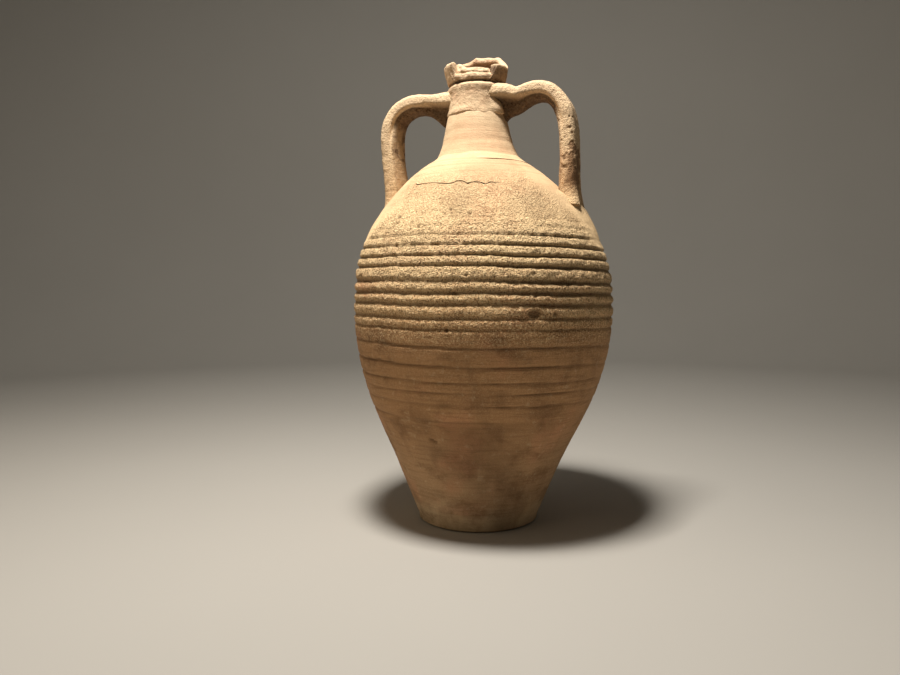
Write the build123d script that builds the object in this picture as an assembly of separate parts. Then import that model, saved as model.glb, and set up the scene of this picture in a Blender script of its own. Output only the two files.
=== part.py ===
from build123d import *
import os
from math import atan2, degrees, hypot

# A two-handled, flat-based storage amphora of fired clay, in millimetres. The origin is the centre of
# the underside, +Z is up, and the handles stand on the X axis. Like a real jar of this size it isn't
# thrown in one go: sections are thrown and left to stiffen, then luted together with slip. So every
# section, band, handle and pad of luting clay is a solid of its own, and they meet face to face.

# Wall of the jar: the outside as (radius, height) from the foot to the root of the neck.
foot_radius = 58.0
foot_bevel = 2.5
body_stations = [
    (60.5, foot_bevel),
    (75.0, 40.0),
    (93.5, 82.0),
    (112.3, 123.0),
    (124.5, 163.0),
    (130.0, 205.0),
    (127.6, 247.0),
    (113.0, 288.0),
    (81.5, 330.0),
    (60.5, 349.5),
]
wall_thickness = 8.5
floor_thickness = 11.0
floor_radius = 46.0

# Neck, a cone with slightly hollow sides that ends in a plain spigot under the collar.
neck_root_radius = 43.5
neck_root_height = 361.0
neck_stations = [(neck_root_radius, neck_root_height), (36.6, 374.0), (32.3, 391.0), (28.6, 406.0)]
spigot_radius = 24.0
spigot_height = 425.0
throat_radius = 17.5
throat_start = 404.0
neck_bore_middle = (22.5, 386.0)
neck_bore_root = (31.5, neck_root_height)

# Joints between the thrown sections. Each is a ridge on the lower section's lip, pressed up into a
# groove in the foot of the section above: (middle radius, height).
lip_rise = 5.0
lip_half_width = 2.6
lower_joint = (124.7, 192.0)
shoulder_joint = (73.0, 330.0)
neck_joint = (37.0, neck_root_height)
base_scarf_inner = (50.0, floor_thickness)
base_scarf_outer = (70.0, 20.0)

# Lengths that only have to clear the jar.
beyond = 200.0
clearance = 1.0

# Throwing grooves round the belly: (height, half width, depth).
grooves = [
    (294.4, 1.3, 1.0),
    (279.6, 2.4, 1.9),
    (270.4, 2.4, 1.9),
    (261.9, 2.4, 1.9),
    (253.7, 2.4, 1.9),
    (241.1, 2.6, 1.9),
    (232.2, 2.6, 1.8),
    (221.7, 2.6, 1.6),
    (210.0, 2.6, 1.4),
    (197.8, 2.8, 1.6),
]

# Coil of clay that seals the root of the neck.
coil_radius = 3.4
coil_ring_radius = 40.6
coil_height = 360.4

# Collar: the band of clay luted round the top of the neck, which ties in both handles.
collar_foot_radius = 28.4
collar_radius = 27.4
collar_top = 433.5
collar_round = 3.0

# Rim: a tall, nearly upright band round the mouth. It is worn down at a slant, and the outer half of
# its front is broken away. Angles are measured from +X, anticlockwise seen from above.
rim_radius = 32.0
rim_foot_radius = 30.0
rim_foot = 435.5
rim_foot_set = 0.6
rim_foot_height = 4.0
rim_top = 480.0
lip_radius = 23.0
flare_start = 447.0
worn_height = 457.5
worn_slope = 21.0
front_angle = -72.0
break_start = -129.0
break_arc = 91.0
break_outline = [(23.5, 452.0), (25.5, 439.5), (40.0, 436.5), (40.0, rim_top), (23.5, rim_top)]

# Handles: flattened straps. The centre line runs from inside the collar, over the arch and down into
# the shoulder, as (reach from the jar's axis, height). Sections are (share of length, thickness, width).
strap_route = [
    (22.0, 418.0),
    (36.0, 418.5),
    (49.0, 420.5),
    (63.0, 422.0),
    (76.0, 418.5),
    (86.5, 409.5),
    (92.5, 395.0),
    (94.5, 373.0),
    (93.5, 350.0),
    (91.0, 324.0),
    (88.0, 300.0),
]
strap_sections = [
    (0.0, 27.0, 41.0),
    (0.08, 23.0, 39.0),
    (0.18, 18.5, 35.5),
    (0.30, 17.0, 34.0),
    (0.42, 16.5, 34.0),
    (0.54, 15.5, 34.0),
    (0.68, 15.0, 34.0),
    (0.84, 15.0, 34.5),
    (1.0, 17.0, 37.0),
]
strap_corner = 0.42

# Pads: the luting clay pressed round the foot of each handle and smeared down over the shoulder.
pad_reach = 97.0
pad_height = 303.0
pad_half_length = 44.0
pad_half_width = 26.0
pad_half_thickness = 7.5


def turned(section, start=90.0, arc=360.0):
    """The solid that a section sweeps about the jar's axis, from start on, which is clear of the handles.

    The section's x is the radius and its y the height."""
    placed = Rot(0, 0, start) * (Plane.XZ * section)
    return revolve(placed, Axis.Z, revolution_arc=arc)


def bounded(*edges):
    """The section enclosed by the given edges."""
    return make_face(Curve() + list(edges))


def polygon(points):
    """The section of a closed polygon of (radius, height) points."""
    return make_face(Polyline(*points, close=True))


def inset(points, distance):
    """Stations moved inward, square to the run of their neighbours, by the wall's thickness."""
    moved = []
    for i, (radius, height) in enumerate(points):
        before = points[max(i - 1, 0)]
        after = points[min(i + 1, len(points) - 1)]
        run = (after[0] - before[0], after[1] - before[1])
        length = hypot(*run)
        moved.append((radius - distance * run[1] / length, height + distance * run[0] / length))
    return moved


def joint_line(joint):
    """A luted joint seen in section, from the axis outward: flat, with a ridge inside the wall."""
    radius, height = joint
    return [
        (0, height),
        (radius - lip_half_width, height),
        (radius, height + lip_rise),
        (radius + lip_half_width, height),
        (beyond, height),
    ]


def zone(bottom_line, top_line):
    """Everything between two joint lines."""
    return polygon(bottom_line + top_line[::-1])


def body_outside():
    """The outside of the body, from the foot's bevel to the root of the neck."""
    return Spline(*body_stations, (neck_root_radius, neck_root_height))


def outer_edges():
    """The outside of the jar, from the middle of its underside to the top of the spigot."""
    return [
        Line((0, 0), (foot_radius, 0)),
        Line((foot_radius, 0), body_stations[0]),
        body_outside(),
        Spline(*neck_stations),
        Line(neck_stations[-1], (spigot_radius, neck_stations[-1][1])),
        Line((spigot_radius, neck_stations[-1][1]), (spigot_radius, spigot_height)),
    ]


def inner_edges():
    """The inside of the jar, from the top of the spigot down to the middle of the floor."""
    inside = inset(body_stations, wall_thickness)[1:]
    return [
        Line((throat_radius, spigot_height), (throat_radius, throat_start)),
        Spline((throat_radius, throat_start), neck_bore_middle, neck_bore_root),
        Spline(neck_bore_root, *inside[::-1], (floor_radius, floor_thickness)),
        Line((floor_radius, floor_thickness), (0, floor_thickness)),
        Line((0, floor_thickness), (0, 0)),
    ]


def wall_section():
    """The wall, floor and neck in one, before they are divided at the joints."""
    spigot_end = Line((spigot_radius, spigot_height), (throat_radius, spigot_height))
    return bounded(*outer_edges(), spigot_end, *inner_edges())


def filled_section():
    """The jar as if it were solid clay, up to the top of the spigot."""
    spigot_end = Line((spigot_radius, spigot_height), (0, spigot_height))
    return bounded(*outer_edges(), spigot_end, Line((0, spigot_height), (0, 0)))


def groove_circles():
    """The throwing grooves in section, as circles that dip into the outside of the wall.

    Each circle's size follows from its groove's half width and depth."""
    circles = []
    for height, half_width, depth in grooves:
        level = Line((0, height), (beyond, height))
        radius = body_outside().intersect(level).vertices()[0].X
        groove_radius = (half_width**2 + depth**2) / (2 * depth)
        circles.append(Pos(radius - depth + groove_radius, height) * Circle(groove_radius))
    return circles


def collar_section():
    """The band round the spigot, with a rounded shoulder at its top."""
    foot = neck_stations[-1][1]
    corner = collar_radius - collar_round
    return bounded(
        Line((spigot_radius, foot), (collar_foot_radius, foot)),
        Line((collar_foot_radius, foot), (collar_radius, foot + collar_round)),
        Line((collar_radius, foot + collar_round), (collar_radius, collar_top - collar_round)),
        RadiusArc((collar_radius, collar_top - collar_round), (corner, collar_top), -collar_round),
        Line((corner, collar_top), (spigot_radius, collar_top)),
        Line((spigot_radius, collar_top), (spigot_radius, foot)),
    )


def rim():
    """The mouth: a spigot inside the collar, and above it the worn and broken band."""
    band = turned(
        polygon(
            [
                (throat_radius, spigot_height),
                (spigot_radius, spigot_height),
                (spigot_radius, rim_foot),
                (rim_foot_radius, rim_foot),
                (rim_radius - rim_foot_set, rim_foot + rim_foot_height),
                (rim_radius, rim_top),
                (lip_radius, rim_top),
                (throat_radius, flare_start),
            ]
        )
    )
    worn = Rot(0, 0, front_angle) * Pos(0, 0, worn_height) * Rot(0, worn_slope, 0)
    band -= worn * Pos(0, 0, beyond / 2) * Box(beyond, beyond, beyond)
    return band - turned(polygon(break_outline), break_start, break_arc)


def strap():
    """One handle on +X, before it is trimmed to the jar."""
    route = Plane.XZ * Spline(*strap_route)
    sections = []
    for share, thickness, width in strap_sections:
        place = Plane(origin=route @ share, x_dir=(0, 1, 0), z_dir=route % share)
        sections.append(place * RectangleRounded(width, thickness, strap_corner * thickness))
    return sweep(sections, path=route, multisection=True)


def pad(jar, handle):
    """The smear of luting clay on +X: a flat lens on the shoulder, with the handle standing in it."""
    low_radius, low_height = body_stations[-3]
    high_radius, high_height = body_stations[-2]
    slope = degrees(atan2(low_radius - high_radius, high_height - low_height))
    lens = scale(Sphere(1), by=(pad_half_thickness, pad_half_width, pad_half_length))
    return Pos(pad_reach, 0, pad_height) * Rot(0, -slope, 0) * lens - jar - handle


def opposite(piece):
    """The same piece on the -X side."""
    return piece.mirror(Plane.YZ)


wall = wall_section()
coil = Pos(coil_ring_radius, coil_height) * Circle(coil_radius)
base_line = [(0, floor_thickness), base_scarf_inner, base_scarf_outer, (beyond, base_scarf_outer[1])]
lower_line = joint_line(lower_joint)
shoulder_line = joint_line(shoulder_joint)
neck_line = joint_line(neck_joint)
ground_line = [(0, -clearance), (beyond, -clearance)]
top_line = [(0, rim_top), (beyond, rim_top)]

core_foot = [(0, foot_bevel), (spigot_radius, foot_bevel)]
core_top = [(0, collar_top), (spigot_radius, collar_top)]
core = zone(core_foot, core_top)
trimming = turned(filled_section() + collar_section() + core + coil)
full_strap = strap()
right_handle = full_strap - trimming
right_pad = pad(trimming, full_strap)

pieces = {
    "base_disc": turned(wall & zone(ground_line, base_line)),
    "lower_wall": turned(wall & zone(base_line, lower_line)),
    "ribbed_belly": turned((wall & zone(lower_line, shoulder_line)) - groove_circles()),
    "shoulder": turned((wall & zone(shoulder_line, neck_line)) - coil),
    "neck": turned((wall & zone(neck_line, top_line)) - coil),
    "neck_coil": turned(coil),
    "handle_collar": turned(collar_section()),
    "rim": rim(),
    "right_handle": right_handle,
    "left_handle": opposite(right_handle),
    "right_handle_pad": right_pad,
    "left_handle_pad": opposite(right_pad),
}

os.makedirs("parts", exist_ok=True)
for name, piece in pieces.items():
    export_step(piece, f"parts/{name}.step")
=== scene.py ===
from itertools import product
from math import cos, pi, radians, sin, tau

import bpy
import numpy as np
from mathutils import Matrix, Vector


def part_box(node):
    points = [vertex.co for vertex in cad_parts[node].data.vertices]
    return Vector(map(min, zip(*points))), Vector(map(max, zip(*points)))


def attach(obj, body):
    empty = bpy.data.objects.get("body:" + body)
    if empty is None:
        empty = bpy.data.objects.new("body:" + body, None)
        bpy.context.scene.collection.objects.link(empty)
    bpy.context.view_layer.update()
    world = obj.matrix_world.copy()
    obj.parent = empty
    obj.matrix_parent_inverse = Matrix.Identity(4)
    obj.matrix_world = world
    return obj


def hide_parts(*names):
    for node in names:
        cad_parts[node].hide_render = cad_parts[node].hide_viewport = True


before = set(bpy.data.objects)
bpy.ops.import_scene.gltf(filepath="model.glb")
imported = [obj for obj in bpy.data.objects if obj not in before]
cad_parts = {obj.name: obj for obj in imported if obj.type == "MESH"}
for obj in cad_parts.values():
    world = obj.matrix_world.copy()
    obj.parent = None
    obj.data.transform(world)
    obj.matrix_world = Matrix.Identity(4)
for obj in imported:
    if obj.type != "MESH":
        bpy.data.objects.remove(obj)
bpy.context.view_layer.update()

# The fired-clay amphora over its CAD frame. Lengths are in millimetres and turn into metres as each mesh is
# made. A bearing is an angle about the jar's axis in degrees, 0 at the front and growing to the right.
MM = 0.001
FRONT = -72.0
AXIS_RIGHT = (cos(radians(FRONT + 90.0)), sin(radians(FRONT + 90.0)))
RIGHT_HANDLE_BEARING = 72.0
LEFT_HANDLE_BEARING = -108.0
FAR = 200.0


# -------- curves, noise and measuring


def curve(stations):
    """A smooth function through (place, value) stations, level beyond its ends."""
    places, values = np.array(sorted(stations), float).T
    slopes = np.gradient(values, places)

    def value(at):
        at = np.clip(at, places[0], places[-1])
        i = np.clip(np.searchsorted(places, at) - 1, 0, len(places) - 2)
        span = places[i + 1] - places[i]
        t = (at - places[i]) / span
        rise = values[i] * (1 + 2 * t) * (1 - t) ** 2 + values[i + 1] * t**2 * (3 - 2 * t)
        lean = span * (slopes[i] * t * (1 - t) ** 2 - slopes[i + 1] * t**2 * (1 - t))
        return rise + lean

    return value


def blend(low, high, at):
    """0 below low, 1 above high and a smooth step between them. It falls instead where low is over high."""
    t = np.clip((at - low) / (high - low), 0.0, 1.0)
    return t * t * (3 - 2 * t)


def bump_at(middle, reach, at):
    """A rounded bump of height 1 about middle, which has died away at about twice its reach."""
    return np.exp(-(((at - middle) / reach) ** 2))


def patch_at(middle, reach, bearing, height):
    """The same in two directions, with middle and reach as pairs of a bearing and a height."""
    across = (bearing - middle[0]) / reach[0]
    up = (height - middle[1]) / reach[1]
    return np.exp(-(across**2) - up**2)


LATTICE = np.random.default_rng(11).uniform(-1.0, 1.0, (48, 48, 48))
LAYER_SHIFT = 17.3


def noise(places, size, layer=0):
    """Smooth noise from -1 to 1 in space, with bumps about size millimetres across."""
    scaled = places / size + LAYER_SHIFT * layer
    cell = np.floor(scaled).astype(int)
    part = scaled - cell
    part = part * part * (3 - 2 * part)
    total = 0.0
    for corner in product((0, 1), repeat=3):
        weight = np.prod(np.where(corner, part, 1 - part), axis=-1)
        x, y, z = np.moveaxis((cell + corner) % len(LATTICE), -1, 0)
        total = total + weight * LATTICE[x, y, z]
    return total


def roughness(places, *layers):
    """Layers of noise added up. Each is its depth, the size of its bumps and its layer's number."""
    return sum(depth * noise(places, size, layer) for depth, size, layer in layers)


def cast(node, start, way):
    """Where a ray in the frame first meets a CAD node."""
    hit, place, _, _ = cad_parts[node].ray_cast(Vector(start) * MM, Vector(way))
    if not hit:
        raise ValueError(f"no surface of {node} lies along {way} from {start}")
    return np.array(place) / MM


def box(node):
    """A CAD node's lowest and highest corners, in millimetres."""
    return [np.array(corner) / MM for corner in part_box(node)]


def add(name, data):
    """A new object in the scene that shows its data."""
    made = bpy.data.objects.new(name, data)
    bpy.context.scene.collection.objects.link(made)
    return made


def smooth_mesh(name, points, faces):
    """A smoothly shaded mesh of points, in metres, and faces."""
    mesh = bpy.data.meshes.new(name)
    mesh.from_pydata(points, [], faces)
    mesh.polygons.foreach_set("use_smooth", np.ones(len(mesh.polygons), bool))
    return mesh


# -------- what the frame says

BASE_TOP = box("base_disc")[1][2]
LOWER_JOINT = box("ribbed_belly")[0][2]
SHOULDER_JOINT = box("shoulder")[0][2]
NECK_FOOT = box("neck")[0][2]
NECK_TOP = box("neck")[1][2]
COLLAR_FOOT = box("handle_collar")[0][2]
COIL_FOOT = box("neck_coil")[0][2]
COIL_TOP = box("neck_coil")[1][2]
COIL_RADIUS = box("neck_coil")[1][0]
RIM_TOP = box("rim")[1][2]
FLOOR_TOP = cast("base_disc", (0, 0, FAR), (0, 0, -1))[2]

# Throwing grooves wind down round the jar to the right: the height of each turn where it passes the front.
GROOVE_TURNS = [294.4, 287.6, 279.6, 270.8, 261.6, 252.6, 239.0, 229.0, 219.0, 207.0, 197.5]
FAINT_TURNS = [182.0, 165.0, 150.5, 140.5, 129.0, 113.0]
TURNS = GROOVE_TURNS + FAINT_TURNS

# Heights at which the wall is measured, on its outside and in its bore, clear of the frame's own grooves.
OUTER_LEVELS = {
    "base_disc": (3, 8, 14),
    "lower_wall": range(20, 190, 12),
    "ribbed_belly": (203.8, 215.9, 227.0, 236.7, 247.4, 257.8, 266.2, 275.0, 287.0, 300.0, 315.0, 328.0),
    "shoulder": (335, 342, 349, 355),
    "neck": (366, 374, 383, 394, 405),
}
BORE_LEVELS = {
    "lower_wall": range(14, 190, 16),
    "ribbed_belly": range(196, 330, 14),
    "shoulder": (333, 345, 357),
    "neck": (366, 376, 390, 402, 415),
}
COIL_INSET = 0.8


def outside_of(node, height):
    """The radius of the outside of a CAD node at a height, on its -Y side."""
    return -cast(node, (0, -FAR, height), (0, 1, 0))[1]


def inside_of(node, height):
    """The radius of the inside of a CAD node at a height, on its -Y side."""
    return -cast(node, (0, 0, height), (0, -1, 0))[1]


def outline(radius_of, levels, *more):
    """Radius by height, measured on the CAD nodes at their levels, with any more stations."""
    stations = [(height, radius_of(node, height)) for node, heights in levels.items() for height in heights]
    return curve([*stations, *more])


outer_radius = outline(outside_of, OUTER_LEVELS, (NECK_FOOT, COIL_RADIUS - COIL_INSET))
inner_radius = outline(inside_of, BORE_LEVELS)
floor_radius = inner_radius(FLOOR_TOP)

# How far the thrown body leans to the right of its axis, by height.
lean = curve(
    [(0, 0), (60, 0.8), (120, 3), (180, 5), (230, 5.2), (270, 4.5), (320, 2.5), (360, 1.2), (420, -0.5)]
    + [(470, -1)]
)


def around(radius, angle, height):
    """Places at a radius, an angle about the axis in radians and a height, with the jar's lean."""
    x = radius * np.cos(angle) + lean(height) * AXIS_RIGHT[0]
    y = radius * np.sin(angle) + lean(height) * AXIS_RIGHT[1]
    return np.stack([x, y, height + 0 * x], axis=-1)


def half_turn(degrees):
    """Degrees brought into the range from -180 to 180."""
    return (degrees + 180.0) % 360.0 - 180.0


def bearing_of(angle):
    """The bearing in degrees, from -180 to 180, of an angle in radians."""
    return half_turn(np.degrees(angle) - FRONT)


def angles(columns):
    """Evenly spaced angles round the jar, in radians, starting behind it."""
    return radians(FRONT + 180.0) + np.arange(columns) * tau / columns


# -------- relief of the wall

# Turns are counted down the jar from its third groove. By turn: how deep the groove is cut and how narrow
# it is, as the power that its wave is raised to.
turn_of = curve([(height, turn - 2) for turn, height in enumerate(TURNS)])
groove_depth = curve(
    [(-2.6, 0), (-2, 0.8), (-1.4, 0.4), (-0.6, 1.1), (0, 1.8), (1, 2.4), (3, 2.6), (4, 2.3), (5, 2.5)]
    + [(6, 2.3), (7, 1.9), (8, 1.7), (8.6, 1.0), (9, 1.3), (10, 1.5), (11, 1.5), (12, 1.2), (13, 1.2)]
    + [(14, 0.9), (14.4, 0)]
)
groove_sharpness = curve(
    [(-2, 12), (-1, 8), (0, 7), (2, 5), (3, 4), (4, 2.2), (6, 1.9), (7, 2.6), (8, 7), (9, 14), (14, 14)]
)
grit_by_height = curve(
    [(0, 0.1), (150, 0.12), (180, 0.2), (197, 0.75), (222, 1.1), (285, 1.15), (300, 0.75)]
    + [(322, 0.7), (333, 0.45), (344, 0.15), (361, 0.04)]
)

# The grooves fade under smeared clay, are deeper on the right, and come and go below the last heavy one.
SMEARED_AWAY = 0.92
RIGHT_EXTRA = 0.3
FAINT_BELOW = GROOVE_TURNS[-1] - 6
CLEAREST_BEARING = -30.0
# How dark the grooves are painted as shade, and the depth at which they are darkest, below and above 190 mm.
GROOVE_SHADE = 0.75
SHADED_DEPTH_LOW = 1.2
SHADED_DEPTH_HIGH = 2.3

# Fine lines turned round the shoulder: height, depth and half width. They rise a little to the right.
NECK_LINES = [(355.4, 0.36, 0.8), (349.2, 0.36, 0.8), (352.4, 0.22, 0.7), (341.0, 0.2, 0.8)]
NECK_LINE_RISE = 0.012
# How dark the lines are painted as shade, and the depth at which they are darkest.
NECK_LINE_SHADE = 0.3
SHADED_LINE_DEPTH = 0.55

# An orange patch that the fire left, as bearing and height.
FLUSH_MIDDLE, FLUSH_REACH = (-63.0, 236.0), (13.0, 8.0)

# Clay smeared down from the handles' feet: how many degrees it reaches to each side of a handle, by height.
RIGHT_SMEAR = [(262, 0), (270, 4), (278, 12), (292, 11), (305, 16), (312, 24), (322, 30), (333, 35)]
RIGHT_SMEAR += [(346, 28), (361, 0)]
LEFT_SMEAR = [(268, 0), (279, 20), (285, 42), (292, 48), (300, 56), (316, 53), (333, 50), (350, 28), (361, 0)]
SMEARS = ((RIGHT_HANDLE_BEARING, RIGHT_SMEAR), (LEFT_HANDLE_BEARING, LEFT_SMEAR))
SMEAR_EDGE = 8.0

# Holes and chips: bearing, height, half width, half height and depth.
PITS = [
    (-5.3, 298.6, 1.9, 1.6, 2.0),
    (-14.8, 302.7, 1.4, 1.3, 1.5),
    (-43.8, 298.0, 2.6, 1.4, 1.0),
    (19.7, 211.4, 7.0, 3.6, 3.0),
    (28.3, 210.3, 2.2, 1.8, 1.6),
    (-11.2, 229.3, 3.6, 1.5, 1.5),
    (-14.2, 197.1, 1.8, 1.8, 1.5),
    (-6.6, 244.5, 1.8, 1.3, 1.1),
    (-27.6, 95.9, 1.6, 1.0, 1.4),
    (-26.3, 95.1, 1.9, 1.0, 1.6),
    (-25.0, 94.3, 1.9, 1.0, 1.6),
    (-23.9, 93.7, 1.4, 0.9, 1.2),
    (150.0, 226.0, 5.0, 3.0, 2.0),
    (-150.0, 188.0, 3.0, 2.0, 1.6),
    (120.0, 140.0, 4.0, 1.2, 1.4),
]
# How dark the holes and chips are painted as shade.
PIT_SHADE = 0.7

# Small holes left by sand, scattered over the belly: bearing, height, half height and depth.
SAND_PIT_COUNT = 46
SAND_PITS = np.random.default_rng(5).uniform((-180, 192, 0.8, 0.5), (180, 333, 1.7, 1.3), (SAND_PIT_COUNT, 4))
SAND_PIT_WIDTH = 1.3
# How dark the sand holes are painted as shade.
SAND_PIT_SHADE = 0.45

# The shoulder's joint has opened into a crack across the front: bearing and height.
CRACK = [(-70, 331.2), (-52, 331.8), (-44, 329.9), (-37, 330.4), (-32, 330.2), (-26, 329), (-21, 328)]
CRACK += [(-17, 328.8), (-15, 330.3), (-11, 329.9), (-7.5, 328), (-3, 329.2), (0, 328.4), (3.6, 326.4)]
CRACK += [(7.5, 328.5), (11, 328.4), (14.5, 328.1), (40, 329.5)]
CRACK_ENDS = (-52.0, 17.0)


def smear_cover(bearing, height, places):
    """1 where clay was smeared smooth about the handles' feet, 0 elsewhere."""
    cover = 0.0
    for middle, reaches in SMEARS:
        away = np.abs(half_turn(bearing - middle))
        reach = curve(reaches)(height + 7.0 * noise(places, 26.0, 15)) + 4.0 * noise(places, 14.0, 1)
        cover = np.maximum(cover, blend(-SMEAR_EDGE, SMEAR_EDGE, reach - away))
    return cover * blend(256.0, 274.0, height) * blend(366.0, 352.0, height)


def pit_shape(bearing, height, radius, pit):
    """How deep a pit has cut, from 0 to 1."""
    middle, level, half_width, half_height, _ = pit
    across = half_turn(bearing - middle) * radius * pi / 180.0
    distance = np.hypot(across / half_width, (height - level) / half_height)
    return blend(1.12, 0.6, distance)


def joint_height(bearing, places):
    """The height of the joint between belly and shoulder, with the crack's wander on the front."""
    start, end = CRACK_ENDS
    bearings, heights = np.array(CRACK).T
    along_crack = np.interp(bearing, bearings, heights, left=SHOULDER_JOINT, right=SHOULDER_JOINT)
    off_joint = (along_crack - SHOULDER_JOINT) * blend(175.0, 165.0, np.abs(bearing))
    open_here = blend(start - 6, start, bearing) * blend(end + 6, end, bearing)
    return SHOULDER_JOINT + off_joint + open_here * 0.6 * noise(places, 3.0, 2)


def crack_gap(bearing, places):
    """Half of how far the joint has opened."""
    start, end = CRACK_ENDS
    inside = blend(start, start + 8, bearing) * blend(end, end - 8, bearing)
    return inside * np.clip(0.42 + 0.3 * noise(places, 9.0, 3), 0.12, 1.0)


def throwing_grooves(bearing, height, smear, places):
    """How deep the winding grooves are cut."""
    turn = turn_of(height) + 0.07 * noise(places, 45.0, 4) + 0.03 * noise(places, 11.0, 5)
    wave = (1 + np.cos(tau * (turn - bearing / 360.0))) / 2
    fade = (1 - SMEARED_AWAY * smear) * (0.85 + 0.3 * noise(places, 60.0, 6))
    fade = fade * (1 + RIGHT_EXTRA * blend(0.0, 35.0, bearing) * blend(110.0, 75.0, bearing))
    side = 0.35 * np.cos(np.radians(bearing - CLEAREST_BEARING))
    patchy = np.clip(0.7 + 0.5 * noise(places, 34.0, 7) + side, 0.0, 1.2)
    fade = fade * np.where(height < FAINT_BELOW, patchy, 1.0)
    return groove_depth(turn) * wave ** groove_sharpness(turn) * fade


def relief(angle, height):
    """The wall's relief in millimetres, outward, and what its surface is like there."""
    bearing = bearing_of(angle)
    radius = outer_radius(height)
    places = around(radius, angle, height)
    smear = smear_cover(bearing, height, places)
    grit = grit_by_height(height) * (1 - smear)

    groove = throwing_grooves(bearing, height, smear, places)
    out = -groove
    # Painted shade in the grooves, darkest where they are deepest.
    shaded_depth = np.where(height < 190, SHADED_DEPTH_LOW, SHADED_DEPTH_HIGH)
    dirt = GROOVE_SHADE * np.clip(groove / shaded_depth, 0, 1) ** 1.3

    for level, depth, half_width in NECK_LINES:
        line = level + NECK_LINE_RISE * bearing + 0.5 * noise(places, 30.0, 8)
        cut = depth * bump_at(line, half_width, height)
        out = out - cut
        # Painted shade in the fine line.
        dirt = np.maximum(dirt, NECK_LINE_SHADE * cut / SHADED_LINE_DEPTH)

    out = out + 0.9 * noise(places, 95.0, 9) + 0.35 * noise(places, 28.0, 10)
    out = out + (0.14 + 0.1 * smear) * noise(places, 9.0, 11)
    out = out + grit * roughness(places, (0.3, 4.2, 12), (0.42, 2.4, 13))
    streaks = noise(places * (0.12, 0.12, 1.0), 2.6, 14)
    out = out + 0.16 * (1 - grit) * (1 - smear) * streaks

    for pit in PITS:
        shape = pit_shape(bearing, height, radius, pit)
        out = out - pit[4] * shape
        # Painted shade in the hole.
        dirt = np.maximum(dirt, PIT_SHADE * shape)
    for middle, level, half, depth in SAND_PITS:
        pit = (middle, level, half * SAND_PIT_WIDTH, half, depth)
        shape = grit * pit_shape(bearing, height, radius, pit)
        out = out - depth * shape
        # Painted shade in the sand hole.
        dirt = np.maximum(dirt, SAND_PIT_SHADE * shape)

    fired = patch_at(FLUSH_MIDDLE, FLUSH_REACH, bearing, height)
    flush = fired * (0.8 + 0.4 * noise(places, 9.0, 16))
    surface = {"dirt": np.clip(dirt, 0, 1), "grit": grit, "smear": smear, "spall": 0 * dirt, "flush": flush}
    return out, surface


def wall(angle, height, lift=0.0):
    """Places on the finished wall, lifted square to it, and what its surface is like there."""
    out, surface = relief(angle, height)
    step = 0.5
    slope = (outer_radius(height + step) - outer_radius(height - step)) / (2 * step)
    length = np.hypot(1.0, slope)
    calm_near_ground = np.clip(height / 3.0, 0, 1)
    out = out * calm_near_ground + lift
    return around(outer_radius(height) + out / length, angle, height - out * slope / length), surface


# -------- meshes

SURFACES = ("dirt", "grit", "smear", "spall", "flush")
WALL_COLUMNS = 720
BORE_ROWS = 16
JOINT_ROWS = 4


def plain(shape, **levels):
    """The same surface all over a block of places."""
    return {name: np.full(shape, levels.get(name, 0.0)) for name in SURFACES}


def sides(ring):
    """Each point of a closed ring with the next one."""
    return zip(ring.tolist(), np.roll(ring, -1).tolist())


def grid_piece(node, slot, blocks, corners=(), poles=False):
    """The piece that stands for a CAD node, from blocks of places and surface, whose rows are rings. The last
    row closes to the first, or each end to a point if poles is true. Rows in corners keep a hard edge."""
    places = np.concatenate([block for block, _ in blocks])
    surface = {name: np.concatenate([levels[name] for _, levels in blocks]) for name in SURFACES}
    rows, columns, _ = places.shape
    index = np.arange(rows * columns).reshape(rows, columns)
    below = index if not poles else index[:-1]
    above = np.roll(index, -1, axis=0) if not poles else index[1:]
    quads = np.stack([below, np.roll(below, -1, 1), np.roll(above, -1, 1), above], axis=-1).reshape(-1, 4)
    points = places.reshape(-1, 3)
    levels = {name: surface[name].reshape(-1) for name in SURFACES}
    faces = quads.tolist()
    if poles:
        points = np.vstack([points, places[0].mean(0), places[-1].mean(0)])
        for name in SURFACES:
            ends = [surface[name][0].mean(), surface[name][-1].mean()]
            levels[name] = np.append(levels[name], ends)
        first, last = len(points) - 2, len(points) - 1
        faces += [[first, b, a] for a, b in sides(index[0])]
        faces += [[last, a, b] for a, b in sides(index[-1])]

    mesh = smooth_mesh(f"{node}_fired", (points * MM).tolist(), faces)
    for name in SURFACES:
        attribute = mesh.attributes.new(name, "FLOAT", "POINT")
        attribute.data.foreach_set("value", levels[name].astype(np.float32))
    edge_ends = np.zeros(len(mesh.edges) * 2, int)
    mesh.edges.foreach_get("vertices", edge_ends)
    row_of = np.append(np.repeat(np.arange(rows), columns), [-1, -1])[edge_ends.reshape(-1, 2)]
    hard = (row_of[:, 0] == row_of[:, 1]) & np.isin(row_of[:, 0], list(corners))
    mesh.attributes.new("sharp_edge", "BOOLEAN", "EDGE").data.foreach_set("value", hard)
    mesh.update()

    piece = add(f"{node}_fired", mesh)
    piece.data.materials.append(materials[slot])
    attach(piece, "root")
    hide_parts(node)
    return piece


def between(start, end, rows):
    """Rows that lead from one ring of places to another, without the two rings themselves."""
    shares = np.arange(1, rows + 1)[:, None, None] / (rows + 1)
    block = start + (end - start) * shares
    return block, plain(block.shape[:2])


def bore_rows(angle, top, bottom, rows):
    """Rows down the inside of the wall, with a trace of throwing rings."""
    height = np.linspace(top, bottom, rows)[:, None] + 0 * angle
    radius = inner_radius(height) + 0.25 * np.sin(height / 2.6)
    # The bore is darkened a little all over.
    return around(radius, angle, height), plain(height.shape, dirt=0.25)


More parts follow.
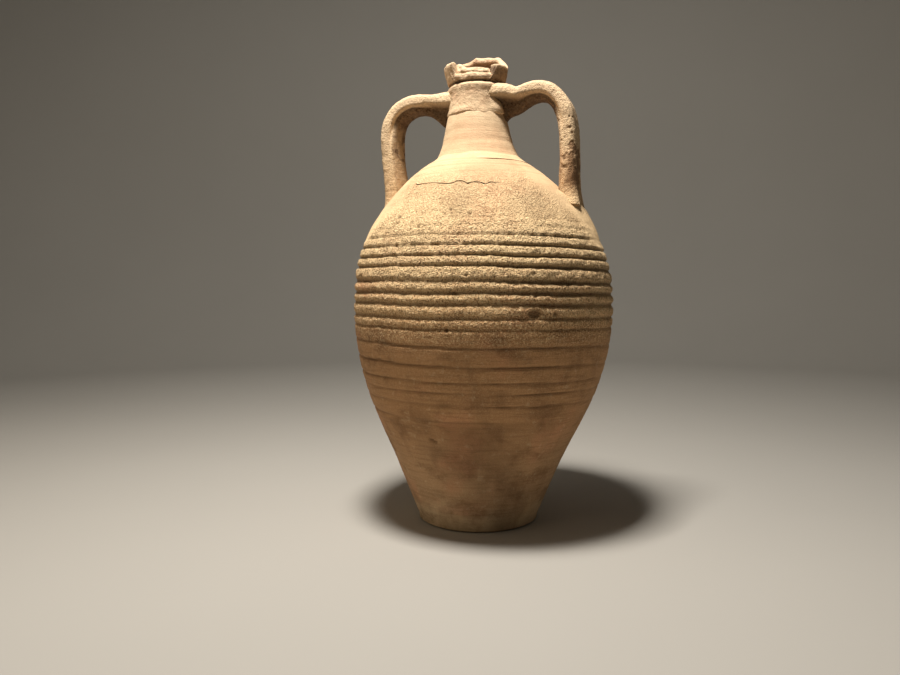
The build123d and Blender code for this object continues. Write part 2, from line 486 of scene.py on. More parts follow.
def wall_piece(node, slot, rows, low, high, low_edge, high_edge):
    """A ring of wall between two heights, which may vary round the jar, with joint faces at its ends.

    low_edge and high_edge are the bore's heights at the two joints."""
    angle = angles(WALL_COLUMNS)
    share = np.linspace(0, 1, rows)[:, None]
    height = low + (high - low) * share + 0 * angle
    outside = wall(angle, height)
    inside = bore_rows(angle, high_edge, low_edge, BORE_ROWS)
    top = between(outside[0][-1], inside[0][0], JOINT_ROWS)
    bottom = between(inside[0][-1], outside[0][0], JOINT_ROWS)
    first_bore = rows + JOINT_ROWS
    corners = (0, rows - 1, first_bore, first_bore + BORE_ROWS - 1)
    return grid_piece(node, slot, [outside, top, inside, bottom], corners)


# -------- materials


def srgb(red, green, blue):
    """Screen values from 0 to 255 as the linear colour that a shader takes."""
    values = np.array((red, green, blue)) / 255.0
    linear = np.where(values < 0.04045, values / 12.92, ((values + 0.055) / 1.055) ** 2.4)
    return (*linear.tolist(), 1.0)


class Shader:
    """A procedural material, built a node at a time."""

    def __init__(self, name):
        self.material = bpy.data.materials.new(name)
        self.material.use_nodes = True
        self.tree = self.material.node_tree
        self.tree.nodes.clear()
        self.place = self.node("ShaderNodeTexCoord").outputs["Object"]

    def node(self, kind, inputs=None, **settings):
        """A node with its settings. Its inputs are other nodes' outputs or constants, by name or number."""
        made = self.tree.nodes.new(kind)
        for name, value in settings.items():
            setattr(made, name, value)
        for name, value in (inputs or {}).items():
            if isinstance(value, bpy.types.NodeSocket):
                self.tree.links.new(value, made.inputs[name])
            else:
                made.inputs[name].default_value = value
        return made

    def math(self, operation, first, second, clamp=False):
        """What an operation makes of two values."""
        made = self.node("ShaderNodeMath", {0: first, 1: second}, operation=operation, use_clamp=clamp)
        return made.outputs[0]

    def times(self, first, second, clamp=False):
        return self.math("MULTIPLY", first, second, clamp)

    def plus(self, first, second):
        return self.math("ADD", first, second)

    def noise(self, size, detail=2.0, stretch=(1.0, 1.0, 1.0), shift=0.0):
        """Noise from 0 to 1 with features about size millimetres across, drawn out where stretch is small."""
        moved = {"Vector": self.place, "Scale": stretch, "Location": (shift, shift, shift)}
        place = self.node("ShaderNodeMapping", moved).outputs[0]
        inputs = {"Vector": place, "Scale": 1.0 / (size * MM), "Detail": detail, "Roughness": 0.6}
        return self.node("ShaderNodeTexNoise", inputs).outputs["Fac"]

    def specks(self, size):
        """The distance to the nearest of many scattered points, about size millimetres apart."""
        inputs = {"Vector": self.place, "Scale": 1.0 / (size * MM)}
        return self.node("ShaderNodeTexVoronoi", inputs).outputs["Distance"]

    def band(self, value, low, high):
        """0 where value is below low, 1 above high and a smooth step between them, or the reverse."""
        inputs = {"Value": value, "From Min": low, "From Max": high}
        return self.node("ShaderNodeMapRange", inputs, interpolation_type="SMOOTHSTEP").outputs["Result"]

    def patches(self, span, **pattern):
        """Patches of noise, 0 below the first end of span and 1 past the second."""
        return self.band(self.noise(**pattern), *span)

    def level(self, name):
        """A level that the piece's mesh carries."""
        return self.node("ShaderNodeAttribute", attribute_name=name).outputs["Fac"]

    def mix(self, share, first, second):
        """Two colours mixed, with share of the second."""
        inputs = {"Factor": share, "A": first, "B": second}
        return self.node("ShaderNodeMix", inputs, data_type="RGBA").outputs["Result"]

    def tint(self, color, cover, strength, tone, clamp=False):
        """A colour with a tone over it wherever cover says, at a strength."""
        return self.mix(self.times(cover, strength, clamp), color, tone)

    def by_height(self, stops):
        """A colour that changes up the jar, from (height, colour) stops that wander a little."""
        height = self.node("ShaderNodeSeparateXYZ", {0: self.place}).outputs["Z"]
        wander = self.times(self.math("SUBTRACT", self.noise(WANDER_SIZE), 0.5), WANDER * MM)
        share = self.math("DIVIDE", self.plus(height, wander), RIM_TOP * MM)
        made = self.node("ShaderNodeValToRGB", {0: share})
        while len(made.color_ramp.elements) < len(stops):
            made.color_ramp.elements.new(0.5)
        for element, (height, color) in zip(made.color_ramp.elements, stops):
            element.position = height / RIM_TOP
            element.color = color
        return made.outputs["Color"]

    def finish(self, surface_inputs):
        """The material, once its surface has these inputs."""
        surface = self.node("ShaderNodeBsdfPrincipled", surface_inputs).outputs["BSDF"]
        self.node("ShaderNodeOutputMaterial", {"Surface": surface})
        return self.material


# The clay's colour up the jar, partly its own tone and partly painted light: the belly is painted brightest
# as a pool of light, the wall below it darker and more orange as painted shade, and the foot lighter to
# offset its shadow.
CLAY_AND_LIGHT_BY_HEIGHT = [
    (0.0, srgb(208, 180, 142)),
    (17.0, srgb(206, 177, 138)),
    (32.0, srgb(184, 149, 110)),
    (110.0, srgb(172, 130, 88)),
    (188.0, srgb(184, 140, 96)),
    (200.0, srgb(202, 156, 108)),
    (214.0, srgb(236, 192, 138)),
    (268.0, srgb(255, 219, 166)),
    (330.0, srgb(208, 174, 132)),
    (372.0, srgb(214, 185, 147)),
    (RIM_TOP, srgb(206, 179, 148)),
]
WANDER = 35.0
WANDER_SIZE = 38.0

PINK = srgb(206, 142, 104)
BROWN = srgb(126, 92, 62)
CREAM = srgb(232, 206, 164)
SAND = srgb(252, 222, 172)
FLUSH = srgb(226, 138, 92)
# The brown of painted shade, and of dirt.
SHADE_AND_DIRT = srgb(70, 45, 24)
SPALL = srgb(132, 100, 70)

# Uneven firing and staining.
BLUSH_PATCHES = {"span": (0.5, 0.68), "size": 78.0, "detail": 3.0, "shift": 0.31}
CLOUD_PATCHES = {"span": (0.5, 0.72), "size": 34.0, "detail": 4.0, "stretch": (1.0, 1.0, 1.5), "shift": 0.57}
RUN_PATCHES = {"span": (0.48, 0.7), "size": 22.0, "detail": 3.0, "stretch": (1.0, 1.0, 0.3), "shift": 0.77}
DRAG_PATCHES = {"span": (0.42, 0.75), "size": 2.4, "stretch": (0.07, 0.07, 1.0)}
SCUM_PATCHES = {"span": (0.56, 0.74), "size": 7.0, "detail": 3.0, "shift": 0.83}

# Sand in the clay, of two sizes, and the levels at which its grain shows bright and dark.
COARSE_GRAIN = {"size": 2.1, "detail": 2.0, "shift": 0.11}
FINE_GRAIN = {"size": 1.0, "detail": 1.0, "shift": 0.23}
COARSE_SHARE = 0.45
FINE_SHARE = 0.55
BRIGHT_GRAIN = (0.5, 0.6)
DARK_GRAIN = (0.48, 0.38)

# Holes that grains of sand have left, darkened with painted shade.
HOLE_SPACING = 2.7
HOLE_EDGE = (0.24, 0.1)

# What the grain, the holes and the drag lines count for in the relief.
GRIT_RELIEF = 4.6
SMOOTH_RELIEF = 0.3
HOLE_RELIEF = 1.2
DRAG_RELIEF = 0.3


def clay(slot, pink, stain, streaks, bump):
    """Unglazed fired clay: uneven in tone, sandy where the mesh says so, and darkened in its hollows with
    painted shade and some dirt.
    """
    s = Shader(slot)
    color = s.by_height(CLAY_AND_LIGHT_BY_HEIGHT)
    color = s.tint(color, s.patches(**BLUSH_PATCHES), pink, PINK)
    cloud = s.patches(**CLOUD_PATCHES)
    color = s.tint(color, cloud, stain, BROWN)
    color = s.tint(color, s.patches(**RUN_PATCHES), stain * 0.6, BROWN)
    drag = s.patches(**DRAG_PATCHES)
    color = s.tint(color, drag, streaks * 0.5, BROWN)
    color = s.tint(color, s.patches(**SCUM_PATCHES), 0.22, CREAM)
    color = s.tint(color, s.level("smear"), 0.3, CREAM)
    color = s.tint(color, s.level("flush"), 0.7, FLUSH, clamp=True)

    grit = s.level("grit")
    coarse = s.noise(**COARSE_GRAIN)
    fine = s.noise(**FINE_GRAIN)
    grain = s.plus(s.times(coarse, COARSE_SHARE), s.times(fine, FINE_SHARE))
    brightness = s.times(grit, 0.95)
    darkness = s.plus(s.times(grit, 0.62), 0.05)
    color = s.tint(color, s.band(grain, *BRIGHT_GRAIN), brightness, SAND)
    color = s.tint(color, s.band(grain, *DARK_GRAIN), darkness, BROWN)
    holes = s.band(s.specks(HOLE_SPACING), *HOLE_EDGE)
    hole = s.times(holes, s.plus(s.times(grit, 0.6), 0.08))
    # The holes darkened with painted shade.
    color = s.tint(color, hole, 0.8, SHADE_AND_DIRT)

    color = s.tint(color, s.level("spall"), 0.9, SPALL)
    patchy = s.plus(s.times(coarse, 0.8), 0.45)
    # Painted shade in hollows, under the rim's lip and under the handles, with some dirt, as the mesh's level
    # says.
    color = s.tint(color, s.level("dirt"), patchy, SHADE_AND_DIRT, clamp=True)

    coarseness = s.plus(s.times(grit, GRIT_RELIEF), SMOOTH_RELIEF)
    height = s.times(grain, coarseness)
    height = s.math("SUBTRACT", height, s.times(hole, HOLE_RELIEF))
    height = s.plus(height, s.times(drag, DRAG_RELIEF * streaks))
    raised = {"Height": height, "Strength": 0.85, "Distance": bump * MM}
    surface = {
        "Base Color": color,
        "Roughness": s.plus(s.times(cloud, 0.08), 0.84),
        "Normal": s.node("ShaderNodeBump", raised).outputs["Normal"],
        "Specular IOR Level": 0.25,
    }
    return s.finish(surface)


# Each slot's clay: how pink, how stained and how streaked it is, and how far its bumps stand out.
CLAYS = {
    "foot_clay": (0.1, 0.6, 0.3, 1.0),
    "wall_clay": (0.45, 0.7, 0.7, 1.0),
    "belly_clay": (0.4, 0.35, 0.3, 1.1),
    "shoulder_clay": (0.25, 0.15, 0.25, 1.0),
    "neck_clay": (0.25, 0.12, 0.35, 1.0),
    "luting_clay": (0.2, 0.15, 0.1, 1.0),
    "collar_clay": (0.55, 0.25, 0.1, 1.0),
    "rim_clay": (0.35, 0.4, 0.15, 1.0),
    "handle_clay": (0.3, 0.25, 0.0, 1.0),
}
materials = {slot: clay(slot, *looks) for slot, looks in CLAYS.items()}


# -------- the thrown sections

WALL_ROWS = 114
SHOULDER_ROWS = 62

# The foot's rows, from the pole under it to the pole on its floor, and its underside.
UNDERSIDE_ROWS = 16
BEVEL_ROWS = 3
FOOT_ROWS = 26
SCARF_ROWS = 5
FLOOR_ROWS = 14
POLE_RADIUS = 3.0
BEVEL_RADIUS = outer_radius(3.0) - 3.2
BEVEL_HEIGHT = 1.6
HOLLOW = 0.5

NECK_COLUMNS = 360
NECK_ROWS = 66
NECK_BORE_ROWS = 22
NECK_RINGS = [(361, 0), (367, -0.35), (371, 0.1), (377, -0.3), (381, 0.1), (389, -0.2), (394, 0), (410, 0)]
NECK_TUCK = 1.6

# How far the coil's outline runs on past the frame's coil, above and below.
COIL_EDGE = 1.5

# The collar in section as (share of its outside, radius, height), from its foot up.
COLLAR_SECTION = [
    (0.0, 26.2, 404.6),
    (0.07, 29.0, 405.0),
    (0.16, 29.2, 407.4),
    (0.3, 28.2, 411.5),
    (0.55, 27.3, 420.0),
    (0.7, 27.3, 425.0),
    (0.8, 28.0, 428.6),
    (0.89, 27.8, 431.6),
    (0.95, 26.0, 433.2),
    (1.0, 23.8, 433.6),
]
COLLAR_LUMP = (47.0, 410.0)
COLLAR_LUMP_REACH = (14.0, 5.5)
ROOT_SWELL_REACH = 27.0


def base_disc():
    """The foot: a disc that the jar stands on, with a worn bevel and a scarf that the wall is luted to."""
    angle = angles(WALL_COLUMNS)
    underside = np.linspace(POLE_RADIUS, BEVEL_RADIUS, UNDERSIDE_ROWS)[:, None] + 0 * angle
    hollow = HOLLOW * blend(1.0, 0.8, underside / underside.max())
    # The underside is darkened.
    below = (around(underside, angle, hollow), plain(underside.shape, dirt=0.5))
    height = np.linspace(BEVEL_HEIGHT, BASE_TOP, FOOT_ROWS)[:, None] + 0 * angle
    outside = wall(angle, height)
    bevel = between(below[0][-1], outside[0][0], BEVEL_ROWS)
    scarf_foot = around(floor_radius, angle, FLOOR_TOP)
    scarf = between(outside[0][-1], scarf_foot, SCARF_ROWS)
    floor = np.linspace(floor_radius, POLE_RADIUS, FLOOR_ROWS)[:, None] + 0 * angle
    # The floor inside is darkened.
    inside = (around(floor, angle, FLOOR_TOP), plain(floor.shape, dirt=0.4))
    blocks = [below, bevel, outside, scarf, inside]
    top_edge = UNDERSIDE_ROWS + BEVEL_ROWS + FOOT_ROWS - 1
    floor_edge = top_edge + SCARF_ROWS + 1
    return grid_piece("base_disc", "foot_clay", blocks, corners=(top_edge, floor_edge), poles=True)


def neck():
    """The neck, up to the plain spigot that the collar hides."""
    angle = angles(NECK_COLUMNS)
    height = np.linspace(NECK_FOOT, COLLAR_FOOT + 4.0, NECK_ROWS)[:, None] + 0 * angle
    places = around(outer_radius(height), angle, height)
    wiped = 0.13 * noise(places * (0.1, 0.1, 1.0), 3.6, 21) + 0.35 * noise(places, 26.0, 22)
    wiped = wiped + 0.1 * noise(places, 5.0, 23)
    rings = 0.5 * curve(NECK_RINGS)(height)
    tuck = NECK_TUCK * blend(COLLAR_FOOT - 2.5, COLLAR_FOOT + 1.5, height)
    outside = around(outer_radius(height) + wiped + rings - tuck, angle, height)
    spigot_radius = outside_of("neck", NECK_TOP - 3.0)
    corner = around(spigot_radius, angle, COLLAR_FOOT + 6.0)
    top = around(spigot_radius, angle, NECK_TOP)
    blocks = [
        (outside, plain(height.shape, grit=0.05, smear=0.15)),
        (corner[None], plain((1, NECK_COLUMNS))),
        (top[None], plain((1, NECK_COLUMNS))),
        bore_rows(angle, NECK_TOP, NECK_FOOT, NECK_BORE_ROWS),
    ]
    first_bore = NECK_ROWS + 2
    corners = (*range(NECK_ROWS - 1, first_bore + 1), first_bore + NECK_BORE_ROWS - 1)
    return grid_piece("neck", "neck_clay", blocks, corners=corners)


def ridge(node, slot, columns, rows, outline, inside_radius, inside_span):
    """A closed band round the jar: its outline by angle and share of the way up, and its plain inside."""
    angle = angles(columns)
    share = np.linspace(0, 1, rows)[:, None]
    radius, height, surface = outline(angle, share)
    outside = (around(radius, angle, height), surface)
    low, high = inside_span
    core = np.linspace(high, low, JOINT_ROWS)[:, None] + 0 * angle
    inside = (around(inside_radius + 0 * core, angle, core), plain(core.shape))
    return grid_piece(node, slot, [outside, inside], corners=(0, rows - 1))


def coil_outline(angle, share):
    """A low uneven ridge that seals the neck's root."""
    height = COIL_FOOT - COIL_EDGE + (COIL_TOP - COIL_FOOT + 2 * COIL_EDGE) * share + 0 * angle
    places = around(outer_radius(height), angle, height)
    drift = 0.7 * noise(places[:1], 20.0, 31)
    crest = bump_at(360.6, 2.2, height - drift)
    bulge = (1.25 + 0.35 * noise(places, 18.0, 32)) * crest
    bulge = bulge - 0.45 + 0.12 * noise(places, 6.0, 33)
    cut = 0.07 * bump_at(357.4, 0.7, height - drift)
    return outer_radius(height) + bulge - cut, height, plain(height.shape, grit=0.06, smear=0.3)


def collar_outline(angle, share):
    """The band of clay pressed round the top of the neck, ragged at its foot."""
    radius = curve([(place, value) for place, value, _ in COLLAR_SECTION])(share) + 0 * angle
    height = curve([(place, value) for place, _, value in COLLAR_SECTION])(share) + 0 * angle
    places = around(radius, angle, height)
    bearing = bearing_of(angle) + 0 * height
    foot = blend(0.35, 0.05, share)
    ragged = roughness(places[:1], (1.3, 9.0, 41), (1.1, 4.0, 42)) - 1.2
    lump = patch_at(COLLAR_LUMP, COLLAR_LUMP_REACH, bearing, height)

    above_crevice = height - 423.0 + 0.3 * (bearing - 30.0)
    crevice = bump_at(0.0, 1.7, above_crevice) * blend(26.0, 36.0, bearing) * blend(75.0, 65.0, bearing)
    right_swell = bump_at(RIGHT_HANDLE_BEARING, ROOT_SWELL_REACH, bearing)
    left_swell = bump_at(LEFT_HANDLE_BEARING, ROOT_SWELL_REACH, bearing)
    swell = (right_swell + left_swell) * blend(410.0, 418.0, height) * blend(433.0, 428.0, height)
    rough = roughness(places, (0.55, 12.0, 43), (0.3, 5.0, 44), (0.2, 2.6, 45))
    radius = radius + rough + 0.8 * foot * noise(places, 7.0, 46) + 3.2 * lump + 2.2 * swell - 1.6 * crevice
    surface = plain(height.shape, grit=0.2)
    # Painted shade along the collar's ragged foot, at its top edge under the rim, and in the crevice beside
    # the right handle's root.
    edges = 0.6 * blend(0.06, 0.0, share) + 0.6 * blend(0.95, 1.0, share)
    surface["dirt"] = np.maximum(edges, 0.85 * crevice)
    return radius, height + foot * ragged, surface


# -------- the mouth

# The worn top of the rim by bearing, and between which bearings its outer half is broken away, by height.
rim_height = curve(
    [(-180, 470), (-162, 465.5), (-140, 462.5), (-120, 460), (-100, 456.5), (-80, 454.5), (-57, 454)]
    + [(-30, 451), (34, 450.5), (57, 451.5), (80, 452.5), (100, 458.5), (124, 467), (150, 469.5), (180, 470)]
)
break_left = curve([(437, -56), (446, -53), (456, -50)])
break_right = curve([(437, 34), (448, 35), (456, 38)])

# The whole rim in section, up its bore, over its top and down its outside: (radius, share of its height).
# A share below 0 lies under the rim's foot and counts as a share of UNDER_FOOT.
WHOLE_SECTION = [
    (17.5, -0.42), (17.5, -0.1), (17.5, 0.2), (18.0, 0.36), (21.0, 0.44), (25.4, 0.52), (27.4, 0.64),
    (27.2, 0.76), (24.0, 0.86), (24.2, 0.97), (27.4, 1.02), (30.6, 0.98), (31.9, 0.88), (31.8, 0.72),
    (30.6, 0.4), (29.2, 0.12), (28.0, 0.0), (24.6, -0.03), (24.0, -0.42),
]
# The same stations where the outer half is gone: (radius, height).
BROKEN_SECTION = [
    (17.5, 425.0), (17.5, 431.0), (17.5, 437.5), (17.7, 442.5), (18.3, 445.6), (19.3, 447.2), (20.6, 447.7),
    (22.0, 447.2), (23.6, 445.8), (24.6, 444.2), (24.2, 442.4), (25.6, 441.4), (26.9, 440.4), (27.2, 438.6),
    (27.2, 437.0), (27.0, 435.9), (24.6, 434.8), (24.0, 431.8), (24.0, 425.0),
]
RIM_FOOT = 435.6
UNDER_FOOT = 25.0
RIM_ROWS = 120
RIM_COLUMNS = 560
BREAK_SOFTNESS = 2.2
STUB_TOP = 448.0


def along(values, rows):
    """A list of values spread over more rows, smoothly."""
    return curve(list(enumerate(values)))(np.linspace(0, len(values) - 1, rows))[:, None]


def rim_shade_and_dirt(places, bearing, radius, height, top, station, broken):
    """Painted shade in the undercut at the rim's foot, down its throat, under its lip, on the face of the
    break's right end and on the right lobe, and dirt in patches over the break.
    """
    foot = 0.85 * blend(437.0, 434.6, height)
    hollows = 0.35 * broken * blend(0.2, -0.5, noise(places, 3.4, 60))
    throat = 0.7 * blend(22.5, 18.5, radius) * blend(449.0, 440.0, height)
    dirt = np.maximum(np.clip(foot + hollows, 0, 1), throat)
    under_lip = (1 - broken) * blend(4.0, 5.2, station) * blend(8.2, 7.4, station)
    right_break = 4 * broken * (1 - broken) * blend(20.0, 28.0, bearing) * blend(60.0, 50.0, bearing)
    right_lobe = (1 - broken) * blend(26.0, 34.0, bearing) * blend(104.0, 76.0, bearing)
    right_lobe = right_lobe * blend(25.0, 28.0, radius) * blend(top - 1.5, top - 6.0, height)
    return np.clip(dirt + 0.75 * under_lip + right_break + 0.8 * right_lobe, 0, 1)


def rim():
    """The mouth: a tall band, worn to a slant, with the outer half of its front broken away."""
    angle = angles(RIM_COLUMNS)
    bearing = bearing_of(angle)
    top = rim_height(bearing)
    share = along([level for _, level in WHOLE_SECTION], RIM_ROWS)
    whole_radius = along([radius for radius, _ in WHOLE_SECTION], RIM_ROWS) + 0 * angle
    whole_height = RIM_FOOT + (top - RIM_FOOT) * np.maximum(share, 0) + UNDER_FOOT * np.minimum(share, 0)
    broken_radius = along([radius for radius, _ in BROKEN_SECTION], RIM_ROWS) + 0 * angle
    broken_height = along([height for _, height in BROKEN_SECTION], RIM_ROWS) + 0 * angle
    places = around(whole_radius, angle, whole_height)

    # The break's ends wander, and on its left a thin fin of the rim's inner half still stands.
    edge = bearing + 5.0 * noise(places, 9.0, 51) + 2.0 * noise(places, 3.5, 52)
    left, right = break_left(whole_height), break_right(whole_height)
    past_left = blend(-BREAK_SOFTNESS, BREAK_SOFTNESS, edge - left)
    broken = past_left * blend(-BREAK_SOFTNESS, BREAK_SOFTNESS, right - edge)
    station = np.linspace(0, len(WHOLE_SECTION) - 1, RIM_ROWS)[:, None]
    standing = blend(-10.0, -46.0, edge) * blend(3.5, 5.5, station) * blend(9.0, 7.6, station)
    stub_height = broken_height + (top - STUB_TOP) * standing
    radius = whole_radius + (broken_radius - whole_radius) * broken
    height = whole_height + (stub_height - whole_height) * broken
    chip = bump_at(-43.0, 8.0, bearing) * bump_at(440.5, 3.6, height)
    radius = radius + 2.6 * (chip * (radius > 23.0))

    places = around(radius, angle, height)
    shown = blend(430.0, 436.0, height)
    rough = roughness(places, (0.55, 11.0, 53), (0.35, 5.0, 54), (0.22, 2.4, 55))
    fracture = broken * (0.7 * noise(places * (0.5, 0.5, 1.6), 4.0, 56) + 0.35 * noise(places, 2.0, 57))
    nicks = 1.1 * (1 - broken) * blend(0.8, 1.0, share) * noise(places, 6.5, 58)
    radius = radius + shown * (rough + fracture)
    height = height + shown * (0.45 * noise(places, 8.0, 59) + nicks)
    surface = plain(height.shape, grit=0.25)
    # Painted shade and dirt on the rim.
    surface["dirt"] = rim_shade_and_dirt(places, bearing, radius, height, top, station, broken)
    # The section runs up the bore first, so its rows are turned round to face outward.
    rows = around(radius, angle, height)[::-1]
    levels = {name: values[::-1] for name, values in surface.items()}
    return grid_piece("rim", "rim_clay", [(rows, levels)])


# -------- handles

# Rays from a pivot in the gap under the handle's arch find the CAD strap, at angles above the level.
HANDLE_PIVOT = (62.0, 385.0)
FAN = range(114, -55, -12)
ROOT_REACHES = ((18.0, -2.0), (32.0, -1.6))
FOOT_STEPS = (1.1, 2.2)
STRAP_ROWS = 250
STRAP_COLUMNS = 120

# A strap's thickness and width by share of its length, as shares of the CAD strap's widest.
strap_thickness = curve(
    [(0, 0.6), (0.07, 0.56), (0.16, 0.45), (0.28, 0.42), (0.55, 0.41), (0.8, 0.42), (0.9, 0.46), (1, 0.6)]
)
strap_width = curve([(0, 1), (0.08, 0.96), (0.18, 0.88), (0.3, 0.84), (0.8, 0.84), (0.93, 0.88), (1, 1.02)])

# How far each handle rises above, and spreads beyond, the line of its CAD strap, by share of its length.
right_rise = [(0, 2.5), (0.08, 2.0), (0.15, -1.2), (0.22, 0.8), (0.3, 1.8), (0.42, 0.3), (1, 0)]
right_spread = [(0, 0), (0.35, 0), (0.5, -1.4), (0.7, -1.6), (0.85, -0.6), (1, 0.4)]
left_rise = [(0, -1.2), (0.15, -0.8), (0.3, -0.4), (0.45, 0), (1, 0)]
left_spread = [(0, 0), (0.45, -0.8), (0.6, -1.6), (0.8, -2.6), (1, -2.6)]
LEFT_ROOT_WIDTH = 0.84

# A strap's section is a superellipse, folded to a keel underneath along its arch and most at its root.
SECTION_POWER = 2.0 / 4.2
ROOT_SHARES = (0.26, 0.12)
ARCH_SHARES = (0.62, 0.45)
FILLET_SHARES = (0.26, 0.02)
FILLET_DEPTH = 14.5
FILLET_POWER = 1.6
SWAY = 0.8
SWAY_RATE = 7.0
SPALL_DEPTH = 0.42


def strap_line(node, side):
    """The middle of a handle as (reach, height) points, from the collar over the arch to the shoulder."""
    points = []
    for turn in FAN:
        way = np.array((side * cos(radians(turn)), 0.0, sin(radians(turn))))
        pivot = np.array((side * HANDLE_PIVOT[0], 0.0, HANDLE_PIVOT[1]))
        near = cast(node, pivot, way)
        far = cast(node, pivot + FAR * way, -way)
        middle = (near + far) / 2
        points.append((side * middle[0], middle[2]))
    first_height = points[0][1]
    last, before = np.array(points[-1]), np.array(points[-2])
    root = [(reach, first_height + rise) for reach, rise in ROOT_REACHES]
    foot = [last + (last - before) * step for step in FOOT_STEPS]
    return np.array([*root, *points, *foot])


def strap_section(share):
    """Where a strap's skin lies: how far across it and how far outward, as shares of half its width and half
    its thickness."""
    turn = tau * np.arange(STRAP_COLUMNS)[None, :] / STRAP_COLUMNS
    across = np.sign(np.cos(turn)) * np.abs(np.cos(turn)) ** SECTION_POWER + 0 * share
    out = np.sign(np.sin(turn)) * np.abs(np.sin(turn)) ** SECTION_POWER + 0 * share
    at_root = blend(*ROOT_SHARES, share)
    fold = fold_of(share)
    keel = (0.45 * blend(*ARCH_SHARES, share) + 0.55 * at_root) * blend(fold, fold + 0.28, -out)
    across = across * (1 - (0.46 + 0.2 * at_root) * keel)
    groove = 0.12 * bump_at(-0.15, 0.3, across) * blend(0.2, 0.7, out) * blend(0.1, 0.3, share)
    edge_ridge = 0.07 * bump_at(-0.72, 0.16, across) * blend(0.2, 0.7, out)
    return across, out - groove + edge_ridge


def fold_of(share):
    """How far inward of a strap's middle its underside folds, as a share of half its thickness."""
    return 0.22 - 0.17 * blend(*ROOT_SHARES, share)


def spall_cover(side, height, across, outward, places):
    """1 where the face of a handle has flaked away. The left one has lost a few flecks only."""
    if side < 0:
        return 0.35 * blend(0.45, 0.75, noise(places, 5.0, 61)) * blend(402.0, 380.0, height)
    zone = blend(408.0, 388.0, height) * blend(322.0, 338.0, height)
    outer = blend(-0.1, 0.6, outward) * blend(0.9, 0.0, across)
    front = blend(-0.4, -0.9, across)
    lower = blend(385.0, 345.0, height)
    flecks = roughness(places, (0.5, 4.6, 62), (0.45, 2.4, 63))
    worn_face = blend(0.36, 0.56, flecks + 0.75 * outer * lower + 0.08 * outer)
    worn_front = 0.9 * blend(0.3, 0.46, flecks + 0.1 * lower) * front
    chip = bump_at(337.0, 6.0, height)
    chip = chip * blend(-0.2, 0.4, outward) * blend(-0.3, -0.8, across)
    return np.clip(zone * (worn_face + worn_front) + chip, 0, 1)


def strap_underside_shade(share, out, places):
    """Painted shade on the underside of a strap, mottled, and darkest behind its fold under the arch."""
    at_root = blend(*ROOT_SHARES, share)
    fold = fold_of(share)
    arch = blend(0.52, 0.42, share) * blend(fold + 0.2 - 0.14 * at_root, fold + 0.36 - 0.16 * at_root, -out)
    inner = 0.5 * blend(0.5, 0.75, -out) * blend(0.4, 0.5, share)
    spots = 0.5 * blend(0.35, 0.7, noise(places, 7.0, 68)) * blend(0.4, 0.9, -out)
    return np.clip(spots + 0.95 * arch + inner, 0, 1)


def handle(node, side, root_width, rise, spread):
    """One handle: a flattened strap of clay, finger-wiped along its outside and flared at its ends."""
    line = strap_line(node, side)
    steps = np.append(0, np.cumsum(np.hypot(*np.diff(line, axis=0).T)))
    along_line = steps / steps[-1]
    share = np.linspace(0, 1, STRAP_ROWS)
    reach = curve(list(zip(along_line, line[:, 0])))(share) + curve(spread)(share)
    level = curve(list(zip(along_line, line[:, 1])))(share) + curve(rise)(share)
    ahead = np.stack([np.gradient(reach), np.gradient(level)], axis=-1)
    ahead = ahead / np.hypot(*ahead.T)[:, None]
    outward = np.stack([-ahead[:, 1], ahead[:, 0]], axis=-1)

    low, high = box(node)
    widest = high[1] - low[1]
    narrowing = 1 + (root_width - 1) * blend(0.3, 0.05, share)
    half_width = (widest / 2 * strap_width(share) * narrowing)[:, None]
    half_thickness = (widest / 2 * strap_thickness(share))[:, None]
    share, reach, level = share[:, None], reach[:, None], level[:, None]
    across, out = strap_section(share)
    x = reach + outward[:, :1] * out * half_thickness
    z = level + outward[:, 1:] * out * half_thickness
    z = z - FILLET_DEPTH * blend(*FILLET_SHARES, share) ** FILLET_POWER * blend(-0.1, -1.0, out)
    y = across * half_width + SWAY * np.sin(share * SWAY_RATE)
    places = np.stack([side * x + lean(z) * AXIS_RIGHT[0], y + lean(z) * AXIS_RIGHT[1], z], axis=-1)

    away = places - places.mean(axis=1, keepdims=True)
    away = away / np.linalg.norm(away, axis=-1, keepdims=True)
    rough = roughness(places, (0.9, 34.0, 64), (0.4, 12.0, 65), (0.22, 5.0, 66), (0.22, 2.3, 67))
    spall = spall_cover(side, z, across, out, places)
    places = places + away * (rough - SPALL_DEPTH * spall)[..., None]
    surface = plain(out.shape, grit=0.32)
    surface["spall"] = spall
    # Painted shade under the strap.
    surface["dirt"] = strap_underside_shade(share, out, places)
    at_ends = np.clip(blend(0.1, 0.0, share) + blend(0.9, 1.0, share), 0, 1)
    surface["smear"] = at_ends * 0.6 + 0 * out
    # The left handle is a mirror image, so its columns are turned round to face outward.
    if side < 0:
        places = places[:, ::-1]
        surface = {name: values[:, ::-1] for name, values in surface.items()}
    return grid_piece(node, "handle_clay", [(places, surface)], poles=True)


PAD_HEIGHT = 312.0
PAD_RISE = 22.0
PAD_DROP = 44.0
PAD_COLUMNS = 144
PAD_TOP_ROWS = 44
PAD_UNDER_ROWS = 14
PAD_POLE = 0.04
PAD_THICKNESS = 5.4
pad_half_width = curve([(-1, 9), (-0.6, 17), (-0.1, 27), (0.35, 33), (0.8, 28), (1, 20)])


